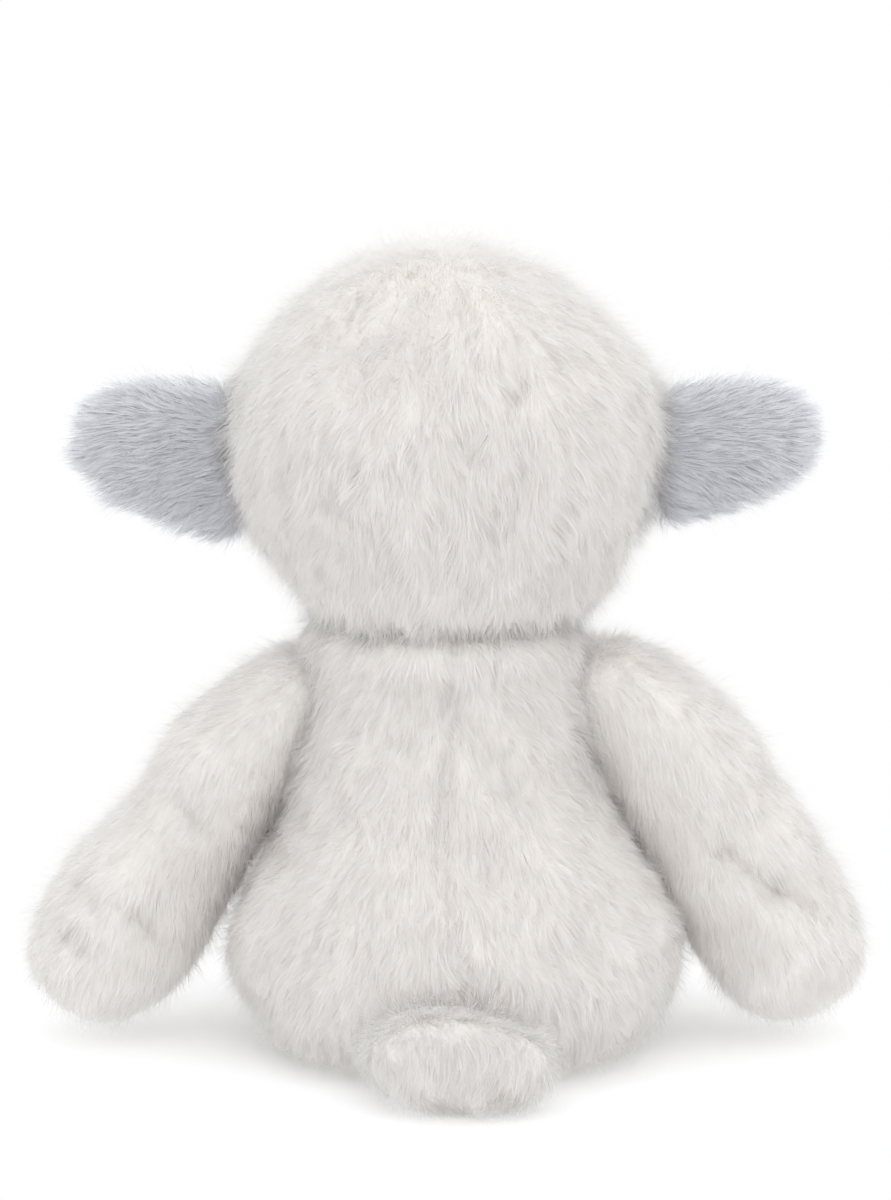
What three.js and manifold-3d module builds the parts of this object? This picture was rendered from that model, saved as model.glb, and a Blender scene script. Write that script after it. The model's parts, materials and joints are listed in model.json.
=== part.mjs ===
// Plush sheep, seated: a round head on a pear-shaped body, flat ears, long arms, short legs, broad tail.
// Millimetres, +Z up. The face looks along -Y and the tail points along +Y.
// Left and right are the sheep's own.
// The outer faces are where the pile is dense; loose hair stands a few millimetres proud of them.
import * as THREE from "three";
import { mergeVertices } from "three/addons/utils/BufferGeometryUtils.js";
import Module from "manifold-3d";

const wasm = await Module();
wasm.setup();

// Fabric and fits
const plushThickness = 4.5;
const sewnGap = 0.3;
const turningGap = 1.1;
const threadRadius = 0.7;
const overrun = 40;
const weldDistance = 0.0001;

// Neck: the torso ends in a dome about this pivot, and the head has a bowl that fits it
const neckHeight = 136;
const domeRadius = 50;
const neckBallRadius = 33.5;
const neckBallGap = 0.7;
const neckHoleRadius = 22;
const neckThreadRise = 21.6;

// Torso
const seatHalfWidth = 81.5;
const seatHalfDepth = 70;
const seatSetBack = 4;
const flatDepth = 0.5;
const sideSeamForward = 12;
const seatPanelHalfWidth = 40;
const seatPanelHalfDepth = 33;
const beanBagHalfWidth = 50;
const beanBagHalfDepth = 40;
const beanBagHalfHeight = 17;
const beanBagHeight = 18;
const bowlRimDrop = 14;
const domeEdgeTurn = THREE.MathUtils.degToRad(84);

// Head
const headHeight = 219.5;
const headHalfWidth = 77.5;
const headHalfDepth = 73;
const headHalfHeight = 75.5;
const headFullnessShare = 2.25;
const faceBelowHead = 9.5;
const faceHalfWidth = 45;
const faceHalfHeight = 47;
const muzzleBelowHead = 22.5;
const muzzleForward = 64;
const muzzleHalfWidth = 34;
const muzzleHalfDepth = 27;
const muzzleHalfHeight = 25;
const stitchThickness = 1.2;
const noseHalfWidth = 9.5;
const noseHalfHeight = 5.5;
const noseAboveMuzzle = 7;
const mouthHalfWidth = 11;
const mouthDrop = 9;
const mouthCornerTurn = THREE.MathUtils.degToRad(55);
const mouthThreadWidth = 1.8;
const eyeHalfSpread = 26;
const eyeAboveHead = 2.5;
const eyeRadius = 6;
const eyeRise = 3.6;
const eyeStemRadius = 1.6;
const washerRadius = 7;
const washerThickness = 1.8;
const washerDepth = 8.7;
const eyeStemLength = washerDepth + 2 * washerThickness;
const faceHeight = headHeight - faceBelowHead;
const muzzleHeight = headHeight - muzzleBelowHead;
const noseHeight = muzzleHeight + noseAboveMuzzle;

// Ears
const earSeamHeight = 220.5;
const earForward = 4;
const earLength = 50;
const earRootHalfHeight = 24.5;
const earHalfThickness = 6;
const earTilt = THREE.MathUtils.degToRad(7);

// Arms
const shoulderHalfSpread = 59;
const shoulderHeight = 135;
const shoulderForward = 10;
const armLean = THREE.MathUtils.degToRad(34.5);
const armLength = 113;
const shoulderRadius = 23;
const upperArmRadius = 27.5;
const pawRadius = 29.8;
const pawLength = 27;

// Legs
const hipHalfSpread = 37;
const hipForward = 68;
const legSplay = THREE.MathUtils.degToRad(7);
const legLength = 56;
const hipRadius = 19;
const shinRadius = 24.5;
const footRadius = 27.5;
const footLength = 25;
const hipHeight = footRadius - flatDepth;

// Tail
const tailRootBack = 74;
const tailRootRadius = 16;
const tailRootHalfWidth = 25;
const tailLength = 11;
const tailRadius = 19;
const tailTipLength = 16;
const tailDroop = THREE.MathUtils.degToRad(22);
const tailPress = 1.4;
const tailRootHeight = tailRadius + tailLength * Math.sin(tailDroop) - tailPress;

// Facets round the forms
const roundSides = 24;
const limbSides = 16;
const innerSides = 12;
const smallSides = 10;
const quarterSteps = 3;
const middleSteps = 4;
const domeSteps = 5;
const sideSteps = 9;

// Outline of the torso below its dome: half width as a share of the seat's, height as a share of the neck's
const torsoOutlineShares = [
  [0.5, -0.004],
  [0.7, 0.016],
  [0.85, 0.065],
  [0.95, 0.135],
  [1.0, 0.235],
  [0.98, 0.34],
  [0.915, 0.45],
  [0.82, 0.56],
  [0.735, 0.67],
  [0.67, 0.79],
  [0.63, 0.9],
];
// Outline of an ear: distance out as a share of its length, half height as a share of its root's
const earOutlineShares = [
  [0.0, 1.0],
  [0.3, 0.97],
  [0.58, 0.85],
  [0.8, 0.64],
  [0.93, 0.38],
];

const cream = { color: 0xe9e5e1, roughness: 0.95, metalness: 0 };
const greyBlue = { color: 0xb4b8c2, roughness: 0.95, metalness: 0 };
const fibre = { color: 0xf4f4f2, roughness: 1, metalness: 0 };
const cotton = { color: 0xd8d2c6, roughness: 0.9, metalness: 0 };
const darkThread = { color: 0x4a4447, roughness: 0.7, metalness: 0 };
const paleThread = { color: 0xdcd8d2, roughness: 0.8, metalness: 0 };
const blackGloss = { color: 0x0d0c0c, roughness: 0.12, metalness: 0 };
const palePlastic = { color: 0xe6e6e2, roughness: 0.5, metalness: 0 };

// Solids

// A closed geometry as a solid: equal points become one, and triangles without area go.
function solid(geometry) {
  const bare = new THREE.BufferGeometry();
  bare.setAttribute("position", geometry.getAttribute("position"));
  bare.setIndex(geometry.index);
  const merged = mergeVertices(bare, weldDistance);
  const index = merged.index.array;
  const kept = [];
  for (let i = 0; i < index.length; i += 3) {
    const [a, b, c] = index.subarray(i, i + 3);
    if (a !== b && b !== c && c !== a) kept.push(a, b, c);
  }
  const vertProperties = merged.getAttribute("position").array;
  const triVerts = new Uint32Array(kept);
  return new wasm.Manifold(new wasm.Mesh({ numProp: 3, vertProperties, triVerts }));
}

function mesh(name, form, material) {
  const { numProp, vertProperties, triVerts } = form.getMesh();
  const points = new Float32Array((vertProperties.length / numProp) * 3);
  for (let i = 0; i * 3 < points.length; i += 1) {
    points.set(vertProperties.subarray(i * numProp, i * numProp + 3), i * 3);
  }
  const geometry = new THREE.BufferGeometry();
  geometry.setAttribute("position", new THREE.BufferAttribute(points, 3));
  geometry.setIndex(new THREE.BufferAttribute(triVerts, 1));
  geometry.computeVertexNormals();
  const made = new THREE.Mesh(geometry, new THREE.MeshStandardMaterial(material));
  made.name = name;
  return made;
}

function oval(halfWidth, halfDepth, halfHeight, sides, at = [0, 0, 0]) {
  const unit = new THREE.SphereGeometry(1, sides, Math.round(sides / 2));
  return solid(unit.rotateX(Math.PI / 2).scale(halfWidth, halfDepth, halfHeight).translate(...at));
}

function ball(radius, sides, at = [0, 0, 0]) {
  return oval(radius, radius, radius, sides, at);
}

function block(low, high) {
  const size = high.map((value, i) => value - low[i]);
  const middle = high.map((value, i) => (value + low[i]) / 2);
  return solid(new THREE.BoxGeometry(...size).translate(...middle));
}

// A prism over an outline in the XZ plane, from one Y to another
function prism(shape, fromY, toY) {
  const settings = { depth: toY - fromY, bevelEnabled: false, curveSegments: smallSides };
  return solid(new THREE.ExtrudeGeometry(shape, settings).rotateX(Math.PI / 2).translate(0, toY, 0));
}

// A round rod between two points
function rod(radius, from, to, sides) {
  const start = new THREE.Vector3(...from);
  const along = new THREE.Vector3(...to).sub(start);
  const length = along.length();
  const turn = new THREE.Quaternion().setFromUnitVectors(new THREE.Vector3(0, 1, 0), along.normalize());
  const geometry = new THREE.CylinderGeometry(radius, radius, length, sides).translate(0, length / 2, 0);
  return solid(geometry.applyQuaternion(turn).translate(start.x, start.y, start.z));
}

// Turns an outline of (radius, height) points about Z
function revolve(outline, sides) {
  return new THREE.LatheGeometry(outline, sides).rotateX(Math.PI / 2);
}

// A rounded rod along +Z from a ball at the origin, swelling through its middle to its end
function limbOutline({ ballRadius, middleRadius, endRadius, length, tipLength }, inset) {
  const root = ballRadius - inset;
  const tip = tipLength - inset;
  const swell = new THREE.SplineCurve([
    new THREE.Vector2(root, 0),
    new THREE.Vector2(middleRadius - inset, length / 2),
    new THREE.Vector2(endRadius - inset, length),
  ]);
  const points = [];
  for (let i = 0; i < quarterSteps; i += 1) {
    const angle = (i / quarterSteps) * (Math.PI / 2);
    points.push(new THREE.Vector2(root * Math.sin(angle), -root * Math.cos(angle)));
  }
  points.push(...swell.getPoints(middleSteps));
  for (let i = 1; i <= quarterSteps; i += 1) {
    const angle = (i / quarterSteps) * (Math.PI / 2);
    const radius = i === quarterSteps ? 0 : (endRadius - inset) * Math.cos(angle);
    points.push(new THREE.Vector2(radius, length + tip * Math.sin(angle)));
  }
  return points;
}

function limb(sizes, inset, sides) {
  return revolve(limbOutline(sizes, inset), sides);
}

// Torso

// Half width grows from the flat seat to the hips and shrinks to the dome,
// which is round about the neck's pivot
function torsoForm(inset, sides) {
  const dome = domeRadius - inset;
  const outline = torsoOutlineShares.map(
    ([width, height]) => new THREE.Vector2(width * seatHalfWidth - inset, height * neckHeight),
  );
  const floor = inset - flatDepth;
  const side = new THREE.SplineCurve(outline).getPoints(sideSteps);
  const points = [new THREE.Vector2(0, floor)];
  for (const point of side) {
    points.push(new THREE.Vector2(point.x, Math.max(point.y, floor)));
  }
  for (let i = 0; i <= domeSteps; i += 1) {
    const angle = (1 - i / domeSteps) * domeEdgeTurn;
    const radius = i === domeSteps ? 0 : dome * Math.sin(angle);
    points.push(new THREE.Vector2(radius, neckHeight + dome * Math.cos(angle)));
  }
  const form = revolve(points, sides);
  const place = form.getAttribute("position");
  for (let i = 0; i < place.count; i += 1) {
    const share = THREE.MathUtils.clamp(1 - place.getZ(i) / neckHeight, 0, 1);
    const flatten = THREE.MathUtils.lerp(1, seatHalfDepth / seatHalfWidth, Math.sqrt(share));
    place.setY(i, place.getY(i) * flatten + seatSetBack * share);
  }
  return solid(form);
}

const neckPivot = [0, 0, neckHeight];
const shoulderAt = (side) => [side * shoulderHalfSpread, -shoulderForward, shoulderHeight];
const hipAt = (side) => [side * hipHalfSpread, -hipForward, hipHeight];
const tailAt = [0, tailRootBack, tailRootHeight];
const reach = seatHalfWidth + overrun;
const leftHalf = block([sewnGap / 2, -reach, -overrun], [reach, reach, headHeight + reach]);
const rightHalf = block([-reach, -reach, -overrun], [-sewnGap / 2, reach, headHeight + reach]);
const underFloor = block([-reach, -reach, -overrun], [reach, reach, 0]);

// The dish that the inner side of an arm sweeps when the arm swings about its shoulder, along X
function armPath(side) {
  const [across, down] = [Math.cos(armLean), Math.sin(armLean)];
  const armSide = [
    [0, shoulderRadius],
    [armLength / 4, upperArmRadius],
    [armLength / 2, upperArmRadius],
    [armLength, pawRadius],
  ];
  const inner = armSide.map(
    ([along, radius]) => [down * radius + across * along, down * along - across * radius - turningGap],
  );
  const outline = [[0, inner[0][1]], ...inner, [inner.at(-1)[0], reach], [0, reach]];
  const form = revolve(outline.map(([radius, out]) => new THREE.Vector2(radius, out)), roundSides);
  return solid(form.rotateY((side * Math.PI) / 2).translate(...shoulderAt(side)));
}

// The hollows that the round roots of arms, legs and tail turn in
function cutSockets(form) {
  let cut = form;
  for (const side of [1, -1]) {
    cut = cut.subtract(ball(shoulderRadius + turningGap, limbSides, shoulderAt(side)));
    cut = cut.subtract(ball(hipRadius + turningGap, limbSides, hipAt(side)));
  }
  const tailGap = tailRootRadius + turningGap;
  for (const side of [1, -1]) cut = cut.subtract(armPath(side));
  return cut.subtract(oval(tailRootHalfWidth + turningGap, tailGap, tailGap, limbSides, tailAt));
}

// The oval under the seat, standing up from below the floor
function seatPrism(grow) {
  const outline = new THREE.Shape();
  outline.absellipse(0, seatSetBack, seatPanelHalfWidth + grow, seatPanelHalfDepth + grow, 0, 2 * Math.PI);
  const depth = overrun + beanBagHeight;
  const settings = { depth, bevelEnabled: false, curveSegments: smallSides };
  return solid(new THREE.ExtrudeGeometry(outline, settings).translate(0, 0, -overrun));
}

function beanBag(grow) {
  const at = [0, seatSetBack, beanBagHeight];
  const halves = [beanBagHalfWidth, beanBagHalfDepth, beanBagHalfHeight].map((half) => half + grow);
  const form = oval(...halves, innerSides, at);
  return form.subtract(block([-reach, -reach, -overrun], [reach, reach, plushThickness - grow]));
}

function makeTorso() {
  const skin = cutSockets(torsoForm(0, roundSides).subtract(torsoForm(plushThickness, innerSides)))
    .subtract(underFloor)
    .subtract(rod(neckHoleRadius, neckPivot, [0, 0, neckHeight + reach], innerSides));
  const back = block([-reach, -sideSeamForward + sewnGap / 2, -overrun], [reach, reach, headHeight]);
  const front = block([-reach, -reach, -overrun], [reach, -sideSeamForward - sewnGap / 2, headHeight]);
  const sides = skin.subtract(seatPrism(sewnGap));
  const bowl = ball(neckBallRadius + neckBallGap, roundSides, neckPivot);
  const aboveBowl = block([-reach, -reach, neckHeight - bowlRimDrop], [reach, reach, headHeight]);
  const filling = cutSockets(torsoForm(plushThickness + sewnGap, innerSides))
    .subtract(bowl)
    .subtract(aboveBowl)
    .subtract(beanBag(sewnGap));
  return [
    mesh("torso_back_left", sides.intersect(back).intersect(leftHalf), cream),
    mesh("torso_back_right", sides.intersect(back).intersect(rightHalf), cream),
    mesh("belly_panel", sides.intersect(front), cream),
    mesh("seat_panel", skin.intersect(seatPrism(0)), cream),
    mesh("torso_stuffing", filling, fibre),
    mesh("seat_bean_bag", beanBag(0), cotton),
  ];
}

// Neck: a ball of fibre in the top of the torso, and the thread that draws the head down on it

// The thread's ring lies round the dome, in a groove along the rim of the head's bowl
function neckRing(grow) {
  const away = domeRadius + sewnGap + threadRadius;
  const radius = Math.sqrt(away ** 2 - neckThreadRise ** 2);
  const ring = new THREE.TorusGeometry(radius, threadRadius + grow, smallSides / 2, roundSides);
  return solid(ring.translate(0, 0, neckHeight + neckThreadRise));
}

function makeNeck() {
  return [
    mesh("neck_stuffing", ball(neckBallRadius, roundSides, neckPivot), fibre),
    mesh("neck_seam_thread", neckRing(0), paleThread),
  ];
}

// Head

function headBall(inset, sides) {
  const power = 2 / headFullnessShare;
  const steps = Math.round(sides / 2);
  const outline = [];
  for (let i = 0; i <= steps; i += 1) {
    const angle = (i / steps - 1 / 2) * Math.PI;
    const radius = i === 0 || i === steps ? 0 : Math.cos(angle) ** power;
    outline.push(new THREE.Vector2(radius, Math.sign(Math.sin(angle)) * Math.abs(Math.sin(angle)) ** power));
  }
  const form = revolve(outline, sides);
  form.scale(headHalfWidth - inset, headHalfDepth - inset, headHalfHeight - inset);
  return solid(form.translate(0, 0, headHeight));
}

function muzzle(grow, sides) {
  const at = [0, -muzzleForward, muzzleHeight];
  return oval(muzzleHalfWidth + grow, muzzleHalfDepth + grow, muzzleHalfHeight + grow, sides, at);
}

function headForm(inset, sides, muzzleSides) {
  return headBall(inset, sides).add(muzzle(-inset, muzzleSides));
}

// Where an eye sits on the head, and the way that it looks out
function eyeSeat(side) {
  const x = side * eyeHalfSpread;
  const z = eyeAboveHead;
  const left = 1 - (x / headHalfWidth) ** 2 - (z / headHalfHeight) ** 2;
  const y = -headHalfDepth * Math.sqrt(left);
  const out = new THREE.Vector3(x / headHalfWidth ** 2, y / headHalfDepth ** 2, z / headHalfHeight ** 2);
  return { at: new THREE.Vector3(x, y, z + headHeight), out: out.normalize() };
}

function onEyeAxis(outline, side) {
  const { at, out } = eyeSeat(side);
  const turn = new THREE.Quaternion().setFromUnitVectors(new THREE.Vector3(0, 0, 1), out);
  return solid(revolve(outline, smallSides).applyQuaternion(turn).translate(at.x, at.y, at.z));
}

function eyeHole(radius, depth, side) {
  const points = [[0, -depth], [radius, -depth], [radius, overrun], [0, overrun]];
  return onEyeAxis(points.map(([r, h]) => new THREE.Vector2(r, h)), side);
}

function makeEye(side) {
  const points = [[0, -eyeStemLength], [eyeStemRadius, -eyeStemLength], [eyeStemRadius, sewnGap]];
  for (let i = 0; i <= quarterSteps; i += 1) {
    const angle = (i / quarterSteps) * (Math.PI / 2);
    const radius = i === quarterSteps ? 0 : eyeRadius * Math.cos(angle);
    points.push([radius, 2 * sewnGap + eyeRise * Math.sin(angle)]);
  }
  return onEyeAxis(points.map(([r, h]) => new THREE.Vector2(r, h)), side);
}

function makeWasher(side) {
  const top = -washerDepth;
  const bottom = top - washerThickness;
  const inner = eyeStemRadius + sewnGap;
  const ring = [[inner, bottom], [washerRadius, bottom], [washerRadius, top], [inner, top], [inner, bottom]];
  return onEyeAxis(ring.map(([r, h]) => new THREE.Vector2(r, h)), side);
}

// Satin stitches: a thin layer over the muzzle, cut to an outline seen from the front
function stitches(outlines) {
  const layer = muzzle(sewnGap + stitchThickness, roundSides).subtract(muzzle(sewnGap, roundSides));
  const cuts = outlines.map((outline) => prism(outline, -muzzleForward - overrun, -muzzleForward));
  return layer.intersect(cuts.reduce((sum, cut) => sum.add(cut)));
}

function noseOutline() {
  const top = noseHeight + noseHalfHeight;
  const bottom = noseHeight - noseHalfHeight;
  const outline = new THREE.Shape();
  outline.moveTo(0, bottom);
  outline.quadraticCurveTo(noseHalfWidth, noseHeight, noseHalfWidth, top - noseHalfHeight / 2);
  outline.quadraticCurveTo(noseHalfWidth, top, 0, top);
  outline.quadraticCurveTo(-noseHalfWidth, top, -noseHalfWidth, top - noseHalfHeight / 2);
  outline.quadraticCurveTo(-noseHalfWidth, noseHeight, 0, bottom);
  return outline;
}

function mouthOutlines() {
  const top = noseHeight - noseHalfHeight - sewnGap;
  const half = mouthThreadWidth / 2;
  const low = top - mouthDrop;
  const line = new THREE.Shape();
  line.moveTo(-half, low);
  line.lineTo(half, low);
  line.lineTo(half, top);
  line.lineTo(-half, top);
  const middle = low + mouthHalfWidth;
  const [from, to] = [-Math.PI / 2 - mouthCornerTurn, -Math.PI / 2 + mouthCornerTurn];
  const smile = new THREE.Shape();
  smile.absarc(0, middle, mouthHalfWidth + half, from, to, false);
  smile.absarc(0, middle, mouthHalfWidth - half, to, from, true);
  return [line, smile];
}

function facePrism(grow) {
  const outline = new THREE.Shape();
  outline.absellipse(0, faceHeight, faceHalfWidth + grow, faceHalfHeight + grow, 0, 2 * Math.PI);
  return prism(outline, -headHalfDepth - reach, -headHalfDepth / 3);
}

function makeHead() {
  const socket = ball(domeRadius + turningGap, roundSides, neckPivot).add(neckRing(turningGap));
  const skin = headForm(0, roundSides, limbSides)
    .subtract(headForm(plushThickness, innerSides, smallSides))
    .subtract(socket);
  const cover = skin.subtract(facePrism(sewnGap));
  let face = skin.intersect(facePrism(0));
  let filling = headForm(plushThickness + sewnGap, innerSides, smallSides).subtract(socket);
  const fittings = [];
  for (const [side, hand] of [[1, "left"], [-1, "right"]]) {
    face = face.subtract(eyeHole(eyeStemRadius + sewnGap, eyeStemLength + sewnGap, side));
    filling = filling.subtract(eyeHole(washerRadius + sewnGap, eyeStemLength + sewnGap, side));
    fittings.push(mesh("eye_" + hand, makeEye(side), blackGloss));
    fittings.push(mesh("eye_washer_" + hand, makeWasher(side), palePlastic));
  }
  return [
    mesh("head_cover_left", cover.intersect(leftHalf), cream),
    mesh("head_cover_right", cover.intersect(rightHalf), cream),
    mesh("face_panel", face, greyBlue),
    mesh("head_stuffing", filling, fibre),
    mesh("nose_stitching", stitches([noseOutline()]), darkThread),
    mesh("mouth_stitching", stitches(mouthOutlines()), darkThread),
    ...fittings,
  ];
}

// Ears: a flat tongue of two cloths, sewn to the head along its rounded root.
// The root lies on the group's Z axis.

function earForm() {
  const outline = [];
  for (let i = 0; i < quarterSteps; i += 1) {
    const angle = (i / quarterSteps) * (Math.PI / 2);
    outline.push(new THREE.Vector2(earRootHalfHeight * Math.sin(angle), -earHalfThickness * Math.cos(angle)));
  }
  for (const [out, height] of earOutlineShares) {
    outline.push(new THREE.Vector2(height * earRootHalfHeight, out * earLength));
  }
  outline.push(new THREE.Vector2(0, earLength));
  const form = revolve(outline, limbSides);
  return form.scale(1, earHalfThickness / earRootHalfHeight, 1);
}

function makeEar(side, hand) {
  const form = solid(earForm().rotateY((side * Math.PI) / 2));
  const wide = earLength + overrun;
  const front = block([-wide, -wide, -wide], [wide, -sewnGap / 2, wide]);
  const back = block([-wide, sewnGap / 2, -wide], [wide, wide, wide]);
  const ear = new THREE.Group();
  ear.add(mesh("ear_" + hand + "_back", form.intersect(back), greyBlue));
  ear.add(mesh("ear_" + hand + "_lining", form.intersect(front), greyBlue));
  ear.position.set(side * (headHalfWidth + earHalfThickness + sewnGap), -earForward, earSeamHeight);
  ear.rotation.y = -side * earTilt;
  return ear;
}

// Arms, legs and tail: each is a plush bag with a hole at its root, and a filling

function bag(sizes, sides) {
  return solid(limb(sizes, 0, sides)).subtract(solid(limb(sizes, plushThickness, innerSides)));
}

function fillingFor(sizes) {
  return solid(limb(sizes, plushThickness + sewnGap, innerSides));
}

const armSizes = {
  ballRadius: shoulderRadius,
  middleRadius: upperArmRadius,
  endRadius: pawRadius,
  length: armLength,
  tipLength: pawLength,
};
const legSizes = {
  ballRadius: hipRadius,
  middleRadius: shinRadius,
  endRadius: footRadius,
  length: legLength,
  tipLength: footLength,
};
const tailSizes = {
  ballRadius: tailRootRadius,
  middleRadius: (tailRootRadius + tailRadius) / 2,
  endRadius: tailRadius,
  length: tailLength,
  tipLength: tailTipLength,
};

// The arm hangs along the group's -Z, so its hole towards the torso is turned back by the lean.
function makeArm(side, hand) {
  const ballInside = shoulderRadius - plushThickness - turningGap;
  const inward = [-side * Math.cos(armLean) * reach, 0, Math.sin(armLean) * reach];
  const down = (form) => form.rotate([180, 0, 0]);
  const hole = rod(ballInside / 2, [0, 0, 0], inward, smallSides);
  const cup = ball(ballInside + turningGap, innerSides);
  const arm = new THREE.Group();
  arm.add(mesh("arm_" + hand + "_cover", down(bag(armSizes, limbSides)).subtract(hole), cream));
  arm.add(mesh("arm_" + hand + "_stuffing", down(fillingFor(armSizes)).subtract(cup), fibre));
  arm.add(mesh("shoulder_" + hand + "_stuffing", ball(ballInside, smallSides), fibre));
  arm.position.set(...shoulderAt(side));
  arm.rotation.y = -side * armLean;
  return arm;
}

function makeLeg(side, hand) {
  const forward = (form) => form.rotate([90, 0, 0]);
  const under = block([-reach, -reach, -reach], [reach, reach, -hipHeight]);
  const hole = rod(hipRadius / 2, [0, 0, 0], [0, reach, 0], smallSides);
  const cover = forward(bag(legSizes, limbSides)).subtract(hole).subtract(under);
  const leg = new THREE.Group();
  leg.add(mesh("leg_" + hand + "_cover", cover, cream));
  leg.add(mesh("leg_" + hand + "_stuffing", forward(fillingFor(legSizes)), fibre));
  leg.position.set(...hipAt(side));
  leg.rotation.z = side * legSplay;
  return leg;
}

function makeTail() {
  const widen = tailRootHalfWidth / tailRootRadius;
  const turn = -90 - THREE.MathUtils.radToDeg(tailDroop);
  const backward = (form) => form.scale([widen, 1, 1]).rotate([turn, 0, 0]);
  const under = block([-reach, -reach, -reach], [reach, reach, -tailRootHeight]);
  const hole = rod(tailRootRadius / 2, [0, 0, 0], [0, -reach, 0], smallSides);
  const tail = new THREE.Group();
  tail.add(mesh("tail_cover", backward(bag(tailSizes, limbSides)).subtract(hole).subtract(under), cream));
  tail.add(mesh("tail_stuffing", backward(fillingFor(tailSizes)), fibre));
  tail.position.set(...tailAt);
  return tail;
}

const sheep = new THREE.Group();
sheep.add(...makeTorso(), ...makeNeck(), ...makeHead(), makeTail());
for (const [side, hand] of [[1, "left"], [-1, "right"]]) {
  sheep.add(makeEar(side, hand), makeArm(side, hand), makeLeg(side, hand));
}
// The frame's origin lies on the floor, in the middle of the toy's depth.
const extent = new THREE.Box3().setFromObject(sheep, true);
sheep.position.y = -(extent.min.y + extent.max.y) / 2;

export default sheep;
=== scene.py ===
"""Plush sheep, seated: cloth skins with combed pile, filling, face, bean bag and a plain studio."""

import functools
import json
import math

import bpy
import numpy as np
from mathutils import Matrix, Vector


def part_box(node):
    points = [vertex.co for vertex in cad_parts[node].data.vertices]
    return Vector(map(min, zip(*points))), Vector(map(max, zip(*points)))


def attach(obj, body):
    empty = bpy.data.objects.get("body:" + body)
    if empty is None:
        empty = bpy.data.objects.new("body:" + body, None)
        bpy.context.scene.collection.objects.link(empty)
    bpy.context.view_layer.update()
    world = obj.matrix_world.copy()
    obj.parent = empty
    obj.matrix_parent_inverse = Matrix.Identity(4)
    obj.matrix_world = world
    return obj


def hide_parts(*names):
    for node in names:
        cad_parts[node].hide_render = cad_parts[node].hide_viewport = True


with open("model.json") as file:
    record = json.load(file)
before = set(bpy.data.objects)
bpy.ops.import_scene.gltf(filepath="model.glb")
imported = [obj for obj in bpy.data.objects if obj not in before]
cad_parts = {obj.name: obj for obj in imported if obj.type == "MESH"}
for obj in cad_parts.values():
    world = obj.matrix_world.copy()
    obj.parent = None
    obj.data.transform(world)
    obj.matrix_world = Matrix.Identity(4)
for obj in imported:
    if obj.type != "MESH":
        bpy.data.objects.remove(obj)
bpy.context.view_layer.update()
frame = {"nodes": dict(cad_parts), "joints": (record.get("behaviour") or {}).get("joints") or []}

# Sizes in millimetres, in the frame's axes; meshes are made in metres.
MM = 0.001
pivots = {joint["name"]: np.array(joint["pos_m"]) / MM for joint in frame["joints"]}
NECK = pivots["neck_nod"]
SKIN_DEPTH = 3.0  # the cloth lies this far under the CAD faces, and the pile stands from it
FILLING_DEPTH = 6.5
FLOOR_GAP = 0.35  # strands stay this far above the floor

DOME_RADIUS = 50.0
BOWL_RADIUS = 51.1
SEAT_HALF_WIDTH = 81.5
SEAT_HALF_DEPTH = 70.0
SEAT_SET_BACK = 4.0
SEAT_SHIFT = -4.0  # the seat lies a little to the sheep's right of the head
TORSO_OUTLINE = [  # radius and height, from the middle of the seat to the neck
    (0.0, 0.0),
    (30.0, 0.0),
    (45.0, 0.4),
    (57.0, 2.6),
    (69.3, 9.0),
    (77.4, 18.4),
    (81.5, 32.0),
    (79.9, 46.2),
    (74.6, 61.2),
    (66.8, 76.2),
    (59.9, 91.1),
    (54.6, 107.4),
    (51.3, 122.4),
    (49.7, 141.2),
]
COLLAR_HEIGHT = 154.5  # here the cloth is fuller, and fills the groove under the head
COLLAR_REACH = 9.0
COLLAR_SHARE = 0.05
COLLAR_MORE = 0.14  # added to the share in front and behind
OPEN_PILE_TOP = 158.0  # the torso's long pile ends under the head's rim, and short pile goes on from there
COVERED_PILE_LOW = 157.0
COVERED_PILE_TOP = 176.0
BACK_SEAM_DEPTH = 1.6
BACK_SEAM_WIDTH = 3.2

HEAD_HALVES = np.array([77.5, 73.0, 75.5])
HEAD_FULLNESS = 2.25
HEAD_CENTRE = np.array([0.0, NECK[1], 219.5])
MUZZLE_CENTRE = np.array([0.0, NECK[1] - 64.0, 197.0])
MUZZLE_HALVES = np.array([34.0, 27.0, 25.0])
FACE_HEIGHT = 210.0
FACE_HALF_WIDTH = 45.0
FACE_HALF_HEIGHT = 47.0
EYE_HALF_SPREAD = 26.0
EYE_HEIGHT = 222.0
EYE_RADIUS = 6.0
EYE_RISE = 3.8
NOSE_HALF_WIDTH = 9.5
NOSE_HALF_HEIGHT = 5.5
NOSE_HEIGHT = 204.0
MOUTH_DROP = 9.0
MOUTH_RADIUS = 11.0

# Creases in the backs of the head and the arms: from (x, z) to (x, z), and how deep
HEAD_CREASES = [
    ((-26, 249), (-24, 246), 2.6),
    ((38, 211), (37, 207), 2.6),
    ((-4, 232), (-9, 226), 1.4),
]
ARM_CREASES = {
    1: [
        ((112, 54), (108, 49), 3.0),
        ((137, 44), (132, 42), 3.0),
        ((133, 62), (127, 58), 2.4),
        ((96, 96), (86, 88), 1.8),
    ],
    -1: [
        ((-100, 77), (-119, 62), 3.6),
        ((-119, 62), (-144, 46), 3.2),
        ((-128, 84), (-134, 76), 1.8),
    ],
}

EAR_LENGTH = 50.0
EAR_HALF_HEIGHT = 24.5
EAR_HALF_THICKNESS = 6.0
EAR_SHARES = [  # share of the length, and of the half height there
    (0.0, 1.0),
    (0.15, 0.99),
    (0.3, 0.975),
    (0.45, 0.95),
    (0.6, 0.9),
    (0.72, 0.82),
    (0.83, 0.67),
]
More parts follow.
